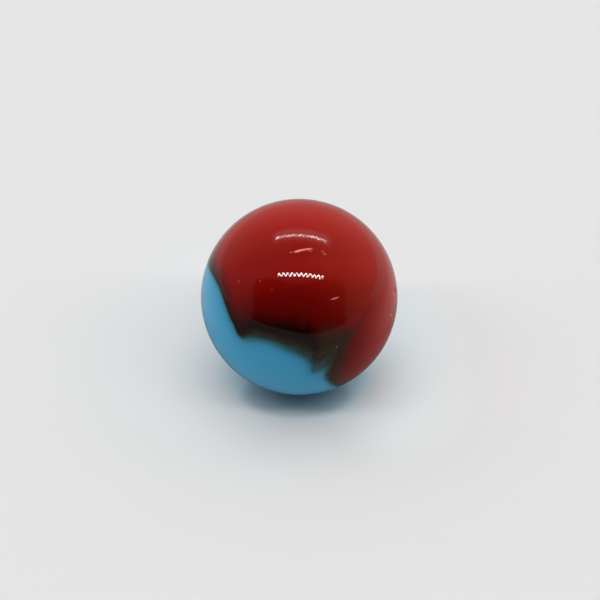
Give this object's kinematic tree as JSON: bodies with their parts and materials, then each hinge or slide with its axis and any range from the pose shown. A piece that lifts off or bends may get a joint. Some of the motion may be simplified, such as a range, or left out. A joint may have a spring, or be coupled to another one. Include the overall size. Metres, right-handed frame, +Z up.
{
  "type": "glass marble",
  "caption": "Small solid glass ball, glossy, pale blue with a translucent red patch that folds over itself and darkens at its edge.",
  "frame": {"origin": "centre of the ball", "axes": "+Z up, with the middle of the red patch on top; -Y towards the side with the fold; +X to its right"},
  "size_m": [0.016, 0.016, 0.016],
  "materials": {
    "marble_glass": "polished opaque glass: a translucent red patch over pale blue, brown-black to green where the red thins out over the blue"
  },
  "bodies": {
    "root": {"marble": "marble_glass"}
  },
  "joints": []
}
